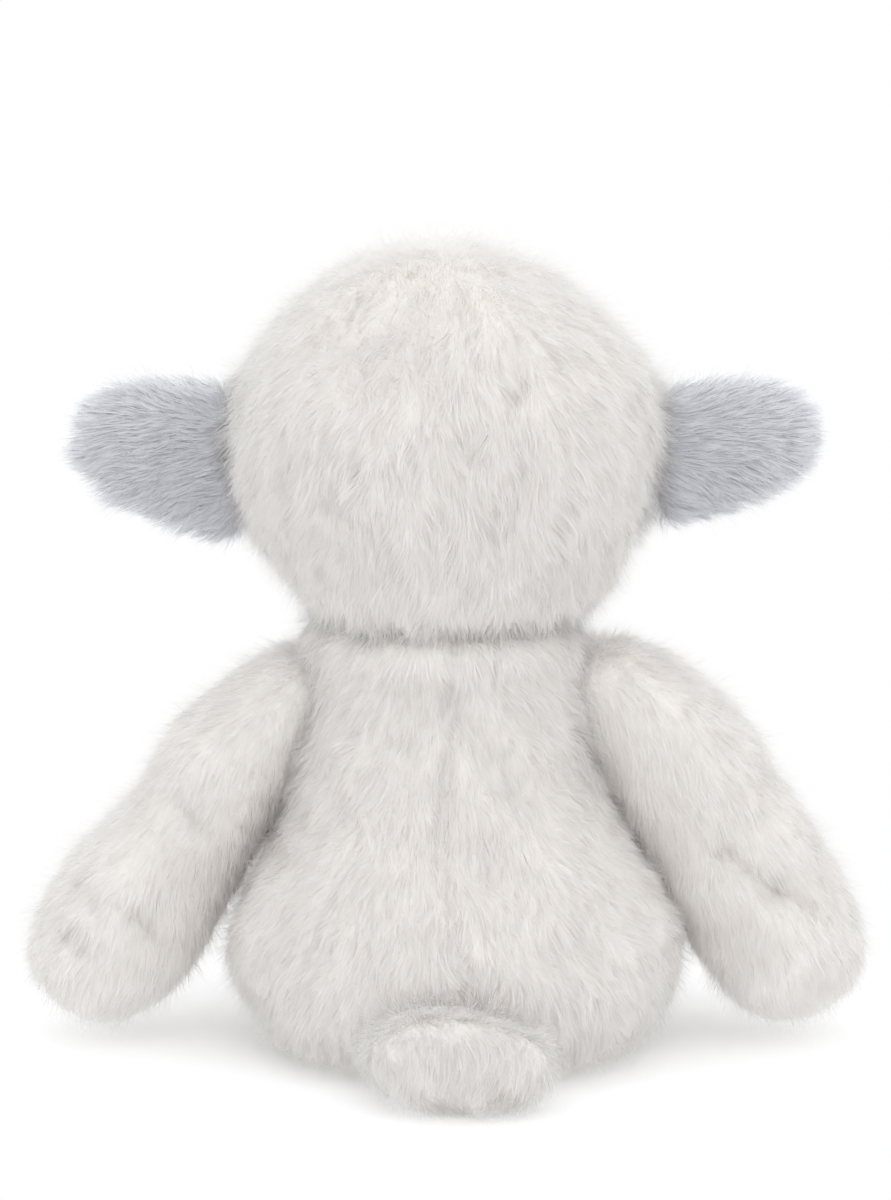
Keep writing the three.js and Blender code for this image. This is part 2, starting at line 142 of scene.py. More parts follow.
# Left (1) and right (-1) differ a little, and the right ear's pile also gets painted light
EAR_FULLNESS = {1: 1.05, -1: 0.97}
EAR_TILT = {1: math.radians(6.5), -1: math.radians(9.5)}
EAR_SINK = {1: 2.0, -1: 1.2}  # how much lower all of it hangs
EAR_FALL = {1: 6.0, -1: 3.0}  # how much lower the underside hangs at the root
EAR_INWARD = {1: 9.0, -1: 6.0}  # how far in the underside reaches there
EAR_PAINTED_LIGHT = {1: 0.0, -1: 0.25}  # painted light added to the pile's tone: the right ear is lighter, as on the side the light comes from
EAR_INSET = 2.2  # the ears' cloth lies this far under the CAD faces

ARM_LEAN = math.radians(34.5)
ARM_OUTLINE = [(23.0, 0.0), (25.6, 28.0), (27.5, 56.0), (29.2, 86.0), (29.8, 113.0)]
ARM_TIP = 33.0
ARM_ROOT_SHARE = 0.72
ARM_DEEPEN = 1.15  # the arms are a little deeper from front to back than they are wide
ARM_BEND = {  # distance along the arm, and how far its upper side moves outward there
    1: [
        (-30, -12.0),
        (0, -10.5),
        (35, -2.0),
        (60, -4.5),
        (85, -4.0),
        (110, 0.0),
        (140, 2.0),
    ],
    -1: [
        (-30, -12.0),
        (-8, -7.0),
        (8, 1.0),
        (25, 5.5),
        (50, 7.5),
        (75, 3.5),
        (100, 1.5),
        (140, 3.0),
    ],
}
LEG_SPLAY = math.radians(7)
LEG_OUTLINE = [(19.0, 0.0), (24.5, 28.0), (27.5, 56.0)]
LEG_TIP = 25.0
TAIL_DROOP = math.radians(22)
TAIL_HALF_WIDTH = 27.0
TAIL_OUTLINE = [(16.0, 0.0), (17.6, 5.5), (19.0, 11.0)]
TAIL_TIP = 16.0

NECK_FILLING_RADIUS = 33.0
SHOULDER_FILLING_RADIUS = 11.0
BEAN_BAG_HALVES = np.array([49.0, 39.0, 14.0])

DENSITY = 2.6  # strands to a square millimetre
LOOSE_SHARE = 0.27  # strands that stand off from the rest
X_AXIS = np.array([1.0, 0.0, 0.0])
Y_AXIS = np.array([0.0, 1.0, 0.0])
Z_AXIS = np.array([0.0, 0.0, 1.0])


def unit(vectors):
    return vectors / np.maximum(np.linalg.norm(vectors, axis=-1, keepdims=True), 1e-9)


def smooth_step(low, high, values):
    share = np.clip((values - low) / (high - low), 0, 1)
    return share * share * (3 - 2 * share)


class Waves:
    """Smooth noise of about unit size: sine waves of one rough length that cross each other."""

    def __init__(self, seed, length, count=8):
        chance = np.random.default_rng(seed)
        heading = unit(chance.normal(size=(count, 3)))
        self.waves = heading * (2 * math.pi / (length * chance.uniform(0.7, 1.5, (count, 1))))
        self.phases = chance.uniform(0, 2 * math.pi, count)

    def __call__(self, points):
        return np.sin(points @ self.waves.T + self.phases).sum(axis=1) * math.sqrt(2 / len(self.phases))


def wave_vectors(seed, length, points):
    return np.stack([Waves(seed + axis, length)(points) for axis in range(3)], axis=1)


# Forms: each is a closed surface, a function of turn (round it) and rise (from pole to pole),
# both from 0 to 1


def along_curve(points, shares):
    """Points on a smooth curve through the given ones, at shares of its length."""
    points = np.asarray(points, float)
    lengths = np.linalg.norm(np.diff(points, axis=0), axis=1)
    knots = np.concatenate([[0], np.cumsum(lengths)])
    slopes = np.gradient(points, knots, axis=0)
    at = np.clip(shares, 0, 1) * knots[-1]
    index = np.clip(np.searchsorted(knots, at, side="right") - 1, 0, len(lengths) - 1)
    span = lengths[index][:, None]
    t = ((at - knots[index]) / lengths[index])[:, None]
    first, last = points[index], points[index + 1]
    rise, fall = slopes[index] * span, slopes[index + 1] * span
    return (
        (2 * t**3 - 3 * t**2 + 1) * first
        + (t**3 - 2 * t**2 + t) * rise
        + (3 * t**2 - 2 * t**3) * last
        + (t**3 - t**2) * fall
    )


def round_cap(radius, at, depth, upward, steps=6):
    """Quarter of an oval that closes an outline at one end, from the pole or towards it."""
    angles = np.linspace(0, math.pi / 2, steps, endpoint=False)
    if upward:
        angles = math.pi / 2 - angles[::-1]
        return [(radius * math.cos(a), at + depth * math.sin(a)) for a in angles]
    return [(radius * math.sin(a), at - depth * math.cos(a)) for a in angles]


def limb_outline(sides, tip, inset, root_share=1.0):
    """(radius, distance along) from the pole inside the root to the pole at the tip."""
    inner = [(radius - inset, along) for radius, along in sides]
    root_radius, end_radius, end = inner[0][0], inner[-1][0], inner[-1][1]
    root_cap = round_cap(root_radius, 0, root_radius * root_share, False)
    return root_cap + inner + round_cap(end_radius, end, tip - inset, True)


def turned(outline, origin, along, across, widen=1.0, sag=None, flatten=1.0):
    """The form that an outline sweeps round an axis; sag(points, distance along) moves it after."""
    upright = np.cross(along, across)

    def place(turn, rise):
        profile = along_curve(outline, rise)
        radius, distance = np.maximum(profile[:, :1], 0), profile[:, 1:]
        angle = (2 * math.pi * turn)[:, None]
        points = origin + along * distance + across * (radius * widen * np.cos(angle))
        points = points + upright * (radius * flatten * np.sin(angle))
        return sag(points, distance[:, 0]) if sag else points

    return place


def headings(turn, rise):
    """Unit vectors from the middle of an oval to its surface."""
    polar, angle = math.pi * rise, 2 * math.pi * turn
    return np.stack([np.sin(polar) * np.cos(angle), np.sin(polar) * np.sin(angle), -np.cos(polar)], axis=1)


def hollowed(points, centre, radii, push):
    """Moves points that lie inside an oval to its far side, along push."""
    offset = (points - centre) / radii
    way = push / radii
    inner = (way * way).sum()
    middle = (offset * way).sum(axis=1)
    left = 1 - (offset * offset).sum(axis=1)
    move = (-middle + np.sqrt(np.maximum(middle**2 + inner * left, 0))) / inner
    return points + np.where(left > 0, move, 0)[:, None] * push


def on_floor(points, gap):
    """Points with none lower than gap."""
    raised = points.copy()
    raised[:, 2] = np.maximum(points[:, 2], gap)
    return raised


def creased(points, creases, width=4.5):
    """Points of a back with soft creases pressed in, each from (x, z) to (x, z) and so deep."""
    pressed = points.copy()
    flat = points[:, [0, 2]]
    for first, last, depth in creases:
        first, way = np.array(first), np.subtract(last, first)
        share = np.clip((flat - first) @ way / max(way @ way, 1e-6), 0, 1)
        gap = np.linalg.norm(flat - first - share[:, None] * way, axis=1)
        behind = smooth_step(-4, 4, points[:, 1] - NECK[1])
        pressed[:, 1] -= depth * np.exp(-((gap / width) ** 2)) * behind
    return pressed


def shoulder(side):
    return pivots["arm_left_swing" if side > 0 else "arm_right_swing"]


def hip(side):
    return pivots["leg_left_raise" if side > 0 else "leg_right_raise"]


TORSO_HOLLOWS = [  # centre and radii of each, and the way it is pressed in
    (shoulder(1), (20.5, 20.5, 20.5), (-1.0, 0.0, 0.0)),
    (shoulder(-1), (20.5, 20.5, 20.5), (1.0, 0.0, 0.0)),
    (hip(1), (16.6, 16.6, 16.6), (0.0, 1.0, 0.0)),
    (hip(-1), (16.6, 16.6, 16.6), (0.0, 1.0, 0.0)),
    (pivots["tail_lift"], (24.6, 13.8, 13.8), (0.0, -1.0, 0.0)),
]


def torso_place(inset):
    """The pear-shaped torso with the dome that the head sits on."""
    sides = [(max(radius - inset, 0), max(height, inset / 2)) for radius, height in TORSO_OUTLINE]
    outline = sides + round_cap(DOME_RADIUS - inset, NECK[2], DOME_RADIUS - inset, True, 9)[1:]
    lumps = Waves(11, 48)
    seam = Waves(13, 90)

    def place(turn, rise):
        profile = along_curve(outline, rise)
        radius, height = np.maximum(profile[:, 0], 0), profile[:, 1]
        low = np.clip(1 - height / NECK[2], 0, 1)
        flatten = 1 + (SEAT_HALF_DEPTH / SEAT_HALF_WIDTH - 1) * np.sqrt(low)
        angle = 2 * math.pi * turn
        spread = np.stack([radius * np.cos(angle), radius * np.sin(angle) * flatten, height], axis=1)
        bulge = smooth_step(6, 30, height) * smooth_step(185, 150, height)
        fullness = COLLAR_SHARE + COLLAR_MORE * np.sin(angle) ** 2
        collar = 1 + fullness * np.exp(-(((height - COLLAR_HEIGHT) / COLLAR_REACH) ** 2))
        swell = collar + 0.014 * lumps(spread) * bulge
        from_seam = spread[:, 0] - 2 * seam(spread)
        seam_line = np.exp(-((from_seam / BACK_SEAM_WIDTH) ** 2))
        groove = BACK_SEAM_DEPTH * seam_line * (spread[:, 1] > 0) * bulge
        spread[:, 0] *= swell
        spread[:, 1] = spread[:, 1] * swell - groove
        spread[:, 0] += SEAT_SHIFT * smooth_step(0.15, 0.6, low)
        spread[:, 1] += NECK[1] + SEAT_SET_BACK * low
        for centre, radii, push in TORSO_HOLLOWS:
            spread = hollowed(spread, centre, np.array(radii) + SKIN_DEPTH - inset, np.array(push))
        return spread

    return place


def oval_gap(points, centre, halves, power=2.0):
    """About how far points lie outside an oval of that fullness, negative inside."""
    offset = np.abs(points - centre) / halves
    level = np.sqrt(offset[:, 0] ** 2 + offset[:, 1] ** 2)
    return ((level**power + offset[:, 2] ** power) ** (1 / power) - 1) * halves.mean()


def head_place(inset):
    """The round head with its muzzle, and the bowl under it that fits the dome."""
    lumps = Waves(21, 52)
    bowl = BOWL_RADIUS + max(inset - SKIN_DEPTH, 0)

    def gap(points):
        offset = points - HEAD_CENTRE
        top = smooth_step(25, 70, offset[:, 2]) * np.where(offset[:, 0] > 0, 0.12, 0.2)
        low = smooth_step(10, -50, offset[:, 2]) * np.where(offset[:, 0] > 0, 0.15, 0.13)
        offset[:, 0] *= 1 + top + low
        head = oval_gap(offset, 0, HEAD_HALVES - inset, HEAD_FULLNESS)
        muzzle = oval_gap(points, MUZZLE_CENTRE, MUZZLE_HALVES - inset)
        blend = 9.0
        share = np.clip(0.5 + 0.5 * (muzzle - head) / blend, 0, 1)
        joined = muzzle * (1 - share) + head * share - blend * share * (1 - share)
        return np.maximum(joined, bowl - np.linalg.norm(points - NECK, axis=1))

    def place(turn, rise):
        heading = headings(turn, rise)
        reach = np.full(len(turn), 30.0)
        for _ in range(14):
            reach -= gap(HEAD_CENTRE + heading * reach[:, None])
        points = HEAD_CENTRE + heading * reach[:, None]
        back = smooth_step(-10, 20, points[:, 1] - NECK[1]) * smooth_step(160, 178, points[:, 2])
        return creased(points + heading * (1.1 * lumps(points) * back)[:, None], HEAD_CREASES)

    return place


def ear_axes(side):
    """Root, way out, and way across the flat of an ear."""
    root = pivots["ear_left_fold" if side > 0 else "ear_right_fold"]
    out = np.array([side * math.cos(EAR_TILT[side]), 0.0, math.sin(EAR_TILT[side])])
    up = np.array([-side * math.sin(EAR_TILT[side]), 0.0, math.cos(EAR_TILT[side])])
    return root, out, up


def ear_place(side, inset):
    """A flat tongue with a round tip that cups a little to the front."""
    root, out, up = ear_axes(side)
    half = EAR_HALF_HEIGHT * EAR_FULLNESS[side] - inset
    last_length, last_height = EAR_SHARES[-1]
    outline = round_cap(half, 0, EAR_HALF_THICKNESS - inset / 2, False)
    outline += [(half * height, length * EAR_LENGTH) for length, height in EAR_SHARES]
    tip = (1 - last_length) * EAR_LENGTH - inset
    outline += round_cap(half * last_height, last_length * EAR_LENGTH, tip, True)[1:]
    ripple = Waves(41 if side > 0 else 46, 30)

    def sag(points, distance):
        outward = np.clip(distance / EAR_LENGTH, 0, 1)
        height = (points - root) @ up
        cup = -2.2 * outward * (height / half) ** 2 + 1.4 * outward**2 + 0.7 * ripple(points) * outward
        below = smooth_step(0.2, -0.8, height / half)
        fall = EAR_FALL[side] * below * (1 - 1.6 * outward) + EAR_SINK[side]
        inward = EAR_INWARD[side] * below * (1 - outward)
        moved = points - up * fall[:, None] - out * inward[:, None]
        moved[:, 1] += cup
        return moved

    return turned(outline, root, out, up, sag=sag, flatten=(EAR_HALF_THICKNESS - inset * 0.6) / half)


def arm_axes(side):
    along = np.array([side * math.sin(ARM_LEAN), 0.0, -math.cos(ARM_LEAN)])
    return shoulder(side), along, Y_AXIS


def arm_place(side, inset):
    origin, along, across = arm_axes(side)
    lumps = Waves(31 if side > 0 else 36, 40)
    outward = np.array([side * math.cos(ARM_LEAN), 0.0, math.sin(ARM_LEAN)])
    at, bend = np.array(ARM_BEND[side]).T

    def sag(points, distance):
        share = smooth_step(10, 60, distance)
        middle = origin + along * distance[:, None]
        swelled = middle + (points - middle) * (1 + 0.04 * lumps(points) * share)[:, None]
        swelled[:, 2] -= 3.0 * smooth_step(90, 135, distance)
        outer = smooth_step(-25, 15, (points - middle) @ outward)
        bent = swelled + outward * (np.interp(distance, at, bend) * outer)[:, None]
        bent[:, 1] += 5.0 * smooth_step(70, 20, distance) * smooth_step(-10, 15, points[:, 1] - NECK[1])
        return creased(bent, ARM_CREASES[side])

    outline = limb_outline(ARM_OUTLINE, ARM_TIP, inset, ARM_ROOT_SHARE)
    return turned(outline, origin, along, across, ARM_DEEPEN, sag)


def leg_axes(side):
    along = np.array([side * math.sin(LEG_SPLAY), -math.cos(LEG_SPLAY), 0.0])
    return hip(side), along, Z_AXIS


def leg_place(side, inset):
    origin, along, across = leg_axes(side)
    lumps = Waves(51 if side > 0 else 56, 40)

    def sag(points, distance):
        share = smooth_step(10, 40, distance)
        middle = origin + along * distance[:, None]
        lumpy = middle + (points - middle) * (1 + 0.03 * lumps(points) * share)[:, None]
        return on_floor(lumpy, inset / 2)

    return turned(limb_outline(LEG_OUTLINE, LEG_TIP, inset), origin, along, across, 1.0, sag)


TAIL_ALONG = np.array([0.0, math.cos(TAIL_DROOP), -math.sin(TAIL_DROOP)])


def tail_place(inset):
    widen = (TAIL_HALF_WIDTH - inset) / (TAIL_OUTLINE[0][0] - inset)
    outline = limb_outline(TAIL_OUTLINE, TAIL_TIP, inset)

    def sag(points, distance):
        moved = on_floor(points, inset / 2)
        moved[:, 0] -= 8.0 * smooth_step(0, 20, distance)
        return moved

    return turned(outline, pivots["tail_lift"], TAIL_ALONG, X_AXIS, widen, sag)


def oval_place(centre, halves):
    def place(turn, rise):
        return centre + headings(turn, rise) * halves

    return place


class Sheet:
    """A form sampled on a fine grid: its points, the ways out, and its size there."""

    def __init__(self, place, sides=360, rows=280, margin=0.004):
        self.sides, self.rows, self.margin = sides, rows, margin
        turns = np.arange(-1, sides + 2) / sides
        rises = np.linspace(margin, 1 - margin, rows)
        points = place(np.tile(turns, rows), np.repeat(rises, sides + 3)).reshape(rows, sides + 3, 3)
        across = (points[:, 2:] - points[:, :-2]) * (sides / 2)
        up = np.gradient(points, rises, axis=0)[:, 1:-1]
        normal = np.cross(across, up)
        size = np.linalg.norm(normal, axis=2, keepdims=True)
        self.samples = np.concatenate([points[:, 1:-1], normal / np.maximum(size, 1e-9), size], axis=2)

    def at(self, turn, rise):
        column = turn * self.sides
        row = np.clip((rise - self.margin) / (1 - 2 * self.margin) * (self.rows - 1), 0, self.rows - 1.001)
        i, k = column.astype(int), row.astype(int)
        right, down = (column - i)[:, None], (row - k)[:, None]
        near = self.samples[k, i] * (1 - right) + self.samples[k, i + 1] * right
        far = self.samples[k + 1, i] * (1 - right) + self.samples[k + 1, i + 1] * right
        found = near * (1 - down) + far * down
        return found[:, :3], unit(found[:, 3:6]), found[:, 6]


# Meshes


def make_mesh(name, points, loops, starts, body, material, slot, uvs=None):
    """A smooth mesh object in metres from points in millimetres, riding on a body."""
    mesh = bpy.data.meshes.new(name)
    mesh.vertices.add(len(points))
    mesh.vertices.foreach_set("co", (np.asarray(points) * MM).astype(np.float32).ravel())
    mesh.loops.add(len(loops))
    mesh.loops.foreach_set("vertex_index", np.asarray(loops, np.int32))
    mesh.polygons.add(len(starts))
    mesh.polygons.foreach_set("loop_start", np.asarray(starts, np.int32))
    mesh.polygons.foreach_set("use_smooth", np.full(len(starts), True))
    if uvs is not None:
        layer = mesh.uv_layers.new(name="OFBake")
        layer.uv.foreach_set("vector", np.asarray(uvs, np.float32).ravel())
    mesh.update(calc_edges=True)
    mesh.validate()
    mesh.materials.append(material)
    piece = bpy.data.objects.new(name, mesh)
    bpy.context.scene.collection.objects.link(piece)
    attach(piece, body)
    return piece


def face_loops(faces):
    """The corners of all faces in one row, and where each face starts in it."""
    starts = np.concatenate([[0], np.cumsum([len(face) for face in faces])[:-1]])
    return [vertex for face in faces for vertex in face], starts


def skin(name, place, sides, rows, body, material, slot):
    """A closed mesh over a form."""
    turns = np.arange(sides) / sides
    rises = np.arange(1, rows) / rows
    turn, rise = np.tile(turns, rows - 1), np.repeat(rises, sides)
    ends = place(np.zeros(2), np.array([0.0, 1.0]))
    points = np.concatenate([ends[:1], place(turn, rise), ends[1:]])
    last = len(points) - 1
    faces, uvs = [], []
    for row in range(rows):
        for side in range(sides):
            after = (side + 1) % sides
            low, high = 1 + (row - 1) * sides, 1 + row * sides
            left, right = side / sides, (side + 1) / sides
            if row == 0:
                faces.append((0, high + after, high + side))
                uvs += [((left + right) / 2, 0), (right, 1 / rows), (left, 1 / rows)]
            elif row == rows - 1:
                faces.append((last, low + side, low + after))
                uvs += [((left + right) / 2, 1), (left, row / rows), (right, row / rows)]
            else:
                faces.append((low + side, low + after, high + after, high + side))
                near, far = row / rows, (row + 1) / rows
                uvs += [(left, near), (right, near), (right, far), (left, far)]
    return make_mesh(name, points, *face_loops(faces), body, material, slot, uvs)


class Pile:
    """The strands of one form: where they stand, which way they are combed, and how they clump.

    Lengths are in millimetres, and lift is how many degrees a strand's two parts rise from the cloth.
    """

    def __init__(
        self, place, seed, comb, length, density=1.0, lift=(33, 14), width=0.19, clump=3.4, gather=0.24,
        keep=None, tint=None, stand=None, facing=None,
    ):
        chance = np.random.default_rng(seed)
        root, normal = self.rooted(Sheet(place), chance, density * DENSITY, keep)
        count = len(root)

        heading = comb(root)
        heading = heading + 0.22 * wave_vectors(seed + 1, 17, root) + 0.14 * wave_vectors(seed + 5, 6, root)
        heading = heading + chance.normal(0, 0.10, (count, 3))
        heading = unit(heading - normal * (heading * normal).sum(axis=1)[:, None])

        long = (length(root) if callable(length) else length) * chance.uniform(0.72, 1.12, count)
        long = long * (1 + 0.10 * Waves(seed + 9, 14)(root))
        loose = chance.random(count) < LOOSE_SHARE
        long = long * np.where(loose, 1.12, 1)

        more = chance.uniform(8, 55, count) * loose + (stand(root) if stand else 0)
        uneven = 4 * Waves(seed + 10, 12)(root)
        first_lift = lift[0] + chance.normal(0, 5, count) + uneven + more
        last_lift = lift[1] + chance.normal(0, 6, count) + more
        knee = root + self.raised(heading, normal, first_lift) * (0.45 * long)[:, None]
        tip = knee + self.raised(heading, normal, last_lift) * (0.55 * long)[:, None]

        nearest = self.leaders(root, seed, clump)
        pull = gather * chance.uniform(0.6, 1.2, count)[:, None] * ~loose[:, None]
        tip += (tip[nearest] - tip) * pull
        knee += (knee[nearest] - knee) * pull * 0.35

        self.root = root
        self.knee = on_floor(knee, FLOOR_GAP)
        self.tip = on_floor(tip, FLOOR_GAP)
        self.normal = normal
        self.facing = unit(normal + facing(root)) if facing else normal
        self.width = width * chance.uniform(0.75, 1.25, count) * np.where(loose, 0.5, 1)
        self.roll = chance.normal(0, 0.55, count)
        tone = 0.5 + 0.15 * chance.normal(size=count) + 0.18 * chance.normal(size=count)[nearest]
        # tint shifts the tone: painted shade and light on the ears, a greyer colour on the face.
        self.tone = np.clip(tone if tint is None else tone + tint(root), 0, 1)

    @staticmethod
    def rooted(sheet, chance, density, keep):
        """Roots spread evenly over the form, and the ways out there."""
        cells = sheet.samples[:, :-1, 6]
        most = np.quantile(cells, 0.995)
        tries = int(density * most)
        root, normal, local = sheet.at(chance.random(tries), chance.uniform(0.004, 0.996, tries))
        kept = chance.random(tries) < local / most
        if keep is not None:
            kept &= keep(root)
        return root[kept], normal[kept]

    @staticmethod
    def raised(heading, normal, degrees):
        angle = np.radians(degrees)[:, None]
        return heading * np.cos(angle) + normal * np.sin(angle)

    @staticmethod
    def leaders(root, seed, clump):
        """For each strand, the one that its clump gathers to."""
        cells = np.floor(root / clump + 0.45 * wave_vectors(seed + 15, 2.2 * clump, root)).astype(np.int64)
        keys = cells @ [1, 1 << 20, 1 << 40]
        _, first, cell = np.unique(keys, return_index=True, return_inverse=True)
        return first[cell]

    def mesh(self, name, body, material, slot, chosen=None):
        """The strands as tapered ribbons, each of a square and a pointed end."""
        pick = np.arange(len(self.root)) if chosen is None else np.flatnonzero(chosen)
        root, knee, tip, normal = self.root[pick], self.knee[pick], self.tip[pick], self.normal[pick]
        count = len(pick)
        way = unit(tip - root)
        flat = unit(np.cross(way, normal))
        face = unit(np.cross(flat, way))
        roll = self.roll[pick][:, None]
        wide = (flat * np.cos(roll) + face * np.sin(roll)) * (self.width[pick] / 2)[:, None]
        points = np.stack([root - wide, root + wide, knee + wide * 0.85, knee - wide * 0.85, tip], axis=1)
        points = points.reshape(-1, 3)
        loops = (np.arange(count)[:, None] * 5 + np.array([0, 1, 2, 3, 3, 2, 4])).ravel()
        starts = (np.arange(count)[:, None] * 7 + np.array([0, 4])).ravel()
        piece = make_mesh(name, points, loops, starts, body, material, slot, self.cells(count))
        across = unit(np.cross(way, wide))
        across *= np.sign((across * normal).sum(axis=1) + 1e-9)[:, None]
        shading = unit(self.facing[pick] + 0.6 * face + 0.05 * across)
        mesh = piece.data
        mesh.normals_split_custom_set_from_vertices(np.repeat(shading, 5, axis=0).astype(np.float32))
        along = mesh.attributes.new("along", "FLOAT", "POINT")
        along.data.foreach_set("value", np.tile(np.array([0, 0, 0.5, 0.5, 1], np.float32), count))
        tone = mesh.attributes.new("tone", "FLOAT", "POINT")
        tone.data.foreach_set("value", np.repeat(self.tone[pick], 5).astype(np.float32))
        return piece

    @staticmethod
    def cells(count):
        """Each strand's own cell of the map: the corners of its square and of its pointed end."""
        columns = max(int(math.sqrt(count / 2)), 1)
        rows = math.ceil(count / columns)
        cell = np.stack([np.arange(count) % columns, np.arange(count) // columns], axis=1)
        low, middle, high = 0.04, 0.45, 0.96
        left, right = 0.1, 0.9
        square = [(left, low), (right, low), (right, middle), (left, middle)]
        end = [(left, middle), (right, middle), (0.5, high)]
        return ((cell[:, None, :] + np.array(square + end)) / np.array([columns, rows])).reshape(-1, 2)


# Materials


def colour(red, green, blue):
    """A shown colour, 0 to 255, as the linear one that shaders take."""
    shares = [value / 255 for value in (red, green, blue)]
    return (*[s / 12.92 if s <= 0.04045 else ((s + 0.055) / 1.055) ** 2.4 for s in shares], 1.0)


class Socket:
    """A value in a shader. Arithmetic on it adds Math nodes."""

    def __init__(self, graph, output):
        self.graph, self.output = graph, output

    def _math(self, operation, *values):
        return self.graph.node("ShaderNodeMath", {"operation": operation}, dict(enumerate(values)))

    def __add__(self, other):
        return self._math("ADD", self, other)

    def __radd__(self, other):
        return self._math("ADD", other, self)

    def __sub__(self, other):
        return self._math("SUBTRACT", self, other)

    def __rsub__(self, other):
        return self._math("SUBTRACT", other, self)

    def __mul__(self, other):
        return self._math("MULTIPLY", self, other)

    def __rmul__(self, other):
        return self._math("MULTIPLY", other, self)

    def __pow__(self, other):
        return self._math("POWER", self, other)


class Graph:
    """The nodes of a material or of the world."""

    def __init__(self, owner):
        self.owner = owner
        owner.use_nodes = True
        self.tree = owner.node_tree
        self.tree.nodes.clear()

    def node(self, kind, settings, values, output=0):
        made = self.tree.nodes.new(kind)
        for key, value in settings.items():
            setattr(made, key, value)
        for key, value in values.items():
            if isinstance(value, Socket):
                self.tree.links.new(value.output, made.inputs[key])
            else:
                made.inputs[key].default_value = value
        return Socket(self, made.outputs[output]) if made.outputs else None

    def mix(self, factor, first, second):
        return self.node("ShaderNodeMix", {"data_type": "RGBA"}, {0: factor, 6: first, 7: second}, 2)

    def place(self):
        return self.node("ShaderNodeTexCoord", {}, {}, "Object")

    def noise(self, scale, detail=2.0):
        values = {"Vector": self.place(), "Scale": scale, "Detail": detail}
        return self.node("ShaderNodeTexNoise", {}, values)

    def attribute(self, name):
        return self.node("ShaderNodeAttribute", {"attribute_name": name}, {}, "Fac")

    def bump(self, height, strength, distance):
        values = {"Height": height, "Strength": strength, "Distance": distance}
        return self.node("ShaderNodeBump", {}, values)

    def principled(self, **values):
        values = {key.replace("_", " "): value for key, value in values.items()}
        return self.node("ShaderNodeBsdfPrincipled", {}, values)

    def output(self, shader, kind="ShaderNodeOutputMaterial"):
        """Shows a shader as the surface, and gives back what the graph belongs to."""
        self.node(kind, {}, {"Surface": shader})
        return self.owner

    def finish(self, **values):
        """Ends the graph in one Principled shader."""
        return self.output(self.principled(**values))


def material_graph(name):
    return Graph(bpy.data.materials.new(name))


def pile_material(name, deep, low, high, glow, through):
    """Strands: deeper in tone at the root, lighter to the tip, with each clump a little different."""
    graph = material_graph(name)
    along, tone = graph.attribute("along"), graph.attribute("tone")
    broad = graph.noise(38.0, 3.0)
    tip = graph.mix(tone * 0.7 + broad * 0.3, low, high)
    shade = graph.mix(along**0.7, deep, tip)
    surface = graph.principled(
        Base_Color=shade,
        Roughness=0.85,
        Specular_IOR_Level=0.15,
        Sheen_Weight=0.7,
        Sheen_Roughness=0.45,
    )
    lit_through = graph.node("ShaderNodeBsdfTranslucent", {}, {"Color": glow})
    return graph.output(graph.node("ShaderNodeMixShader", {}, {0: through, 1: surface, 2: lit_through}))


def backing_material(name, low, high):
    """Knitted backing cloth under the pile."""
    graph = material_graph(name)
    knit = graph.noise(900.0, 2.0)
    broad = graph.noise(45.0, 3.0)
    return graph.finish(
        Base_Color=graph.mix(knit * 0.5 + broad * 0.5, low, high),
        Roughness=0.95,
        Specular_IOR_Level=0.1,
        Normal=graph.bump(knit, 0.6, 0.0004),
    )


def fibre_material():
    graph = material_graph("fibre_fill")
    fluff = graph.noise(160.0, 6.0)
    return graph.finish(
        Base_Color=graph.mix(fluff, colour(226, 226, 224), colour(248, 248, 247)),
        Roughness=1.0,
        Normal=graph.bump(fluff, 0.8, 0.002),
    )


def cotton_material():
    graph = material_graph("bag_cotton")
    yarns = {"Vector": graph.place(), "Scale": 420.0, "Distortion": 0.6}
    warp = graph.node("ShaderNodeTexWave", {"bands_direction": "X"}, yarns)
    weft = graph.node("ShaderNodeTexWave", {"bands_direction": "Z"}, yarns)
    weave = warp * 0.5 + weft * 0.5
    worn = weave * 0.7 + graph.noise(60.0) * 0.3
    return graph.finish(
        Base_Color=graph.mix(worn, colour(196, 188, 172), colour(226, 220, 208)),
        Roughness=0.9,
        Normal=graph.bump(weave, 0.5, 0.0003),
    )


def thread_material(name, low, high, shine):
    """Twisted thread with fine fibres."""
    graph = material_graph(name)
    fibres = graph.noise(1400.0, 3.0)
    broad = graph.noise(240.0)
    return graph.finish(
        Base_Color=graph.mix(fibres * 0.6 + broad * 0.4, low, high),
        Roughness=shine + fibres * 0.2,
        Normal=graph.bump(fibres, 0.4, 0.0002),
    )


def eye_material():
    graph = material_graph("eye_black")
    haze = graph.noise(120.0, 4.0)
    return graph.finish(
        Base_Color=graph.mix(haze, colour(8, 7, 7), colour(20, 17, 16)),
        Roughness=0.05 + haze * 0.08,
        Specular_IOR_Level=0.4,
    )


def washer_material():
    graph = material_graph("washer_plastic")
    grain = graph.noise(700.0, 3.0)
    return graph.finish(
        Base_Color=graph.mix(grain, colour(218, 217, 210), colour(235, 234, 229)),
        Roughness=0.45 + grain * 0.15,
        Normal=graph.bump(grain, 0.2, 0.0002),
    )


cream_pile = pile_material(
    "cream_pile",
    deep=colour(249, 245, 242),
    low=colour(251, 250, 248),
    high=colour(254, 253, 252),
    glow=colour(254, 253, 252),
    through=0.5,
)
grey_pile = pile_material(
    "grey_pile",
    deep=colour(214, 215, 219),
    low=colour(232, 232, 236),
    high=colour(251, 251, 253),
    glow=colour(243, 243, 246),
    through=0.3,
)
cream_backing = backing_material("cream_backing", colour(242, 239, 235), colour(248, 246, 243))
grey_backing = backing_material("grey_backing", colour(205, 205, 209), colour(219, 219, 223))
fibre = fibre_material()
cotton = cotton_material()
dark_thread = thread_material("dark_thread", colour(62, 55, 58), colour(104, 95, 98), 0.4)
pale_thread = thread_material("pale_thread", colour(206, 200, 192), colour(230, 226, 219), 0.6)
eye_black = eye_material()
washer_plastic = washer_material()


